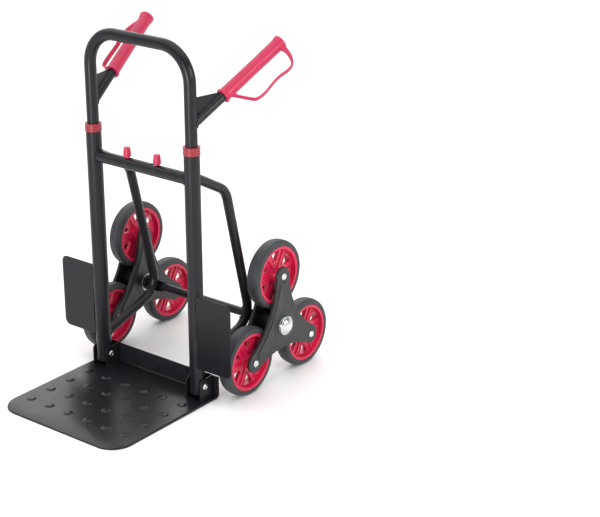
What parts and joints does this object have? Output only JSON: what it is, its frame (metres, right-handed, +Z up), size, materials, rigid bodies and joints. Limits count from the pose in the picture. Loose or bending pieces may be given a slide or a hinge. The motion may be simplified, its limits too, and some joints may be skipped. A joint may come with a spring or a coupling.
{
  "type": "stair climbing sack truck",
  "caption": "Folding stair-climbing hand truck: telescoping tube handle with two guarded grips, hinged toe plate, and a three-wheel star on each end of the axle.",
  "frame": {"origin": "middle of the footprint, on the floor", "axes": "+X across the truck to its right seen from the toe plate, +Y from the toe plate to the wheels, +Z up"},
  "size_m": [0.5138, 0.6782, 0.814],
  "materials": {
    "black_steel": "satin black powder coat",
    "red_plastic": "satin red moulded plastic",
    "black_plastic": "moulded black plastic",
    "rubber": "smooth dark grey rubber",
    "zinc_steel": "zinc plated steel",
    "chrome": "bright plated"
  },
  "bodies": {
    "frame": {"crossbar": "black_steel", "axle": "black_steel", "lock_spring": "zinc_steel", "upright_left": "black_steel", "strut_left": "black_steel", "axle_saddle_left": "black_steel", "wing_left": "black_steel", "collar_left": "red_plastic", "hinge_rivet_left": "zinc_steel", "washer_left": "zinc_steel", "push_cap_left": "chrome", "upright_right": "black_steel", "strut_right": "black_steel", "axle_saddle_right": "black_steel", "wing_right": "black_steel", "collar_right": "red_plastic", "hinge_rivet_right": "zinc_steel", "washer_right": "zinc_steel", "push_cap_right": "chrome"},
    "handle": {"handle_bow": "black_steel", "grip_stub_left": "black_steel", "grip_gusset_left": "black_steel", "grip_left": "red_plastic", "grip_stub_right": "black_steel", "grip_gusset_right": "black_steel", "grip_right": "red_plastic"},
    "toe_plate": {"toe_plate": "black_steel", "hinge_bracket_left": "black_steel", "hinge_bracket_right": "black_steel"},
    "lock_left": {"lock_pin_left": "zinc_steel", "lock_knob_left": "red_plastic"},
    "lock_right": {"lock_pin_right": "zinc_steel", "lock_knob_right": "red_plastic"},
    "star_left": {"spider_outer_left": "black_plastic", "spider_inner_left": "black_plastic", "bearing_outer_left": "zinc_steel", "bearing_inner_left": "zinc_steel", "wheel_bolt_top_left": "zinc_steel", "wheel_bolt_front_left": "zinc_steel", "wheel_bolt_back_left": "zinc_steel"},
    "wheel_top_left": {"rim_top_left": "red_plastic", "tyre_top_left": "rubber"},
    "wheel_front_left": {"rim_front_left": "red_plastic", "tyre_front_left": "rubber"},
    "wheel_back_left": {"rim_back_left": "red_plastic", "tyre_back_left": "rubber"},
    "star_right": {"spider_outer_right": "black_plastic", "spider_inner_right": "black_plastic", "bearing_outer_right": "zinc_steel", "bearing_inner_right": "zinc_steel", "wheel_bolt_top_right": "zinc_steel", "wheel_bolt_front_right": "zinc_steel", "wheel_bolt_back_right": "zinc_steel"},
    "wheel_top_right": {"rim_top_right": "red_plastic", "tyre_top_right": "rubber"},
    "wheel_front_right": {"rim_front_right": "red_plastic", "tyre_front_right": "rubber"},
    "wheel_back_right": {"rim_back_right": "red_plastic", "tyre_back_right": "rubber"}
  },
  "joints": [
    {"name": "handle_slide", "type": "slide", "parent": "frame", "child": "handle", "axis": [0, 0, 1], "range_m": [0, 0.28]},
    {"name": "toe_plate_fold", "type": "hinge", "parent": "frame", "child": "toe_plate", "pos_m": [0, -0.0351, 0.036], "axis": [-1, 0, 0], "range_deg": [0, 90]},
    {"name": "lock_knob_left_slide", "type": "slide", "parent": "frame", "child": "lock_left", "axis": [1, 0, 0], "range_m": [0, 0.012], "stiffness_N_per_m": 600, "springref_m": -0.01, "deforming": ["lock_spring"]},
    {"name": "lock_knob_right_slide", "type": "slide", "parent": "frame", "child": "lock_right", "axis": [-1, 0, 0], "range_m": [0, 0.012], "stiffness_N_per_m": 600, "springref_m": -0.01},
    {"name": "star_left_spin", "type": "hinge", "parent": "frame", "child": "star_left", "pos_m": [-0.21, 0.1569, 0.139], "axis": [1, 0, 0], "continuous": true},
    {"name": "wheel_top_left_spin", "type": "hinge", "parent": "star_left", "child": "wheel_top_left", "pos_m": [-0.21, 0.1569, 0.257], "axis": [1, 0, 0], "continuous": true},
    {"name": "wheel_front_left_spin", "type": "hinge", "parent": "star_left", "child": "wheel_front_left", "pos_m": [-0.21, 0.05471, 0.08], "axis": [1, 0, 0], "continuous": true},
    {"name": "wheel_back_left_spin", "type": "hinge", "parent": "star_left", "child": "wheel_back_left", "pos_m": [-0.21, 0.2591, 0.08], "axis": [1, 0, 0], "continuous": true},
    {"name": "star_right_spin", "type": "hinge", "parent": "frame", "child": "star_right", "pos_m": [0.21, 0.1569, 0.139], "axis": [1, 0, 0], "continuous": true},
    {"name": "wheel_top_right_spin", "type": "hinge", "parent": "star_right", "child": "wheel_top_right", "pos_m": [0.21, 0.1569, 0.257], "axis": [1, 0, 0], "continuous": true},
    {"name": "wheel_front_right_spin", "type": "hinge", "parent": "star_right", "child": "wheel_front_right", "pos_m": [0.21, 0.05471, 0.08], "axis": [1, 0, 0], "continuous": true},
    {"name": "wheel_back_right_spin", "type": "hinge", "parent": "star_right", "child": "wheel_back_right", "pos_m": [0.21, 0.2591, 0.08], "axis": [1, 0, 0], "continuous": true}
  ]
}
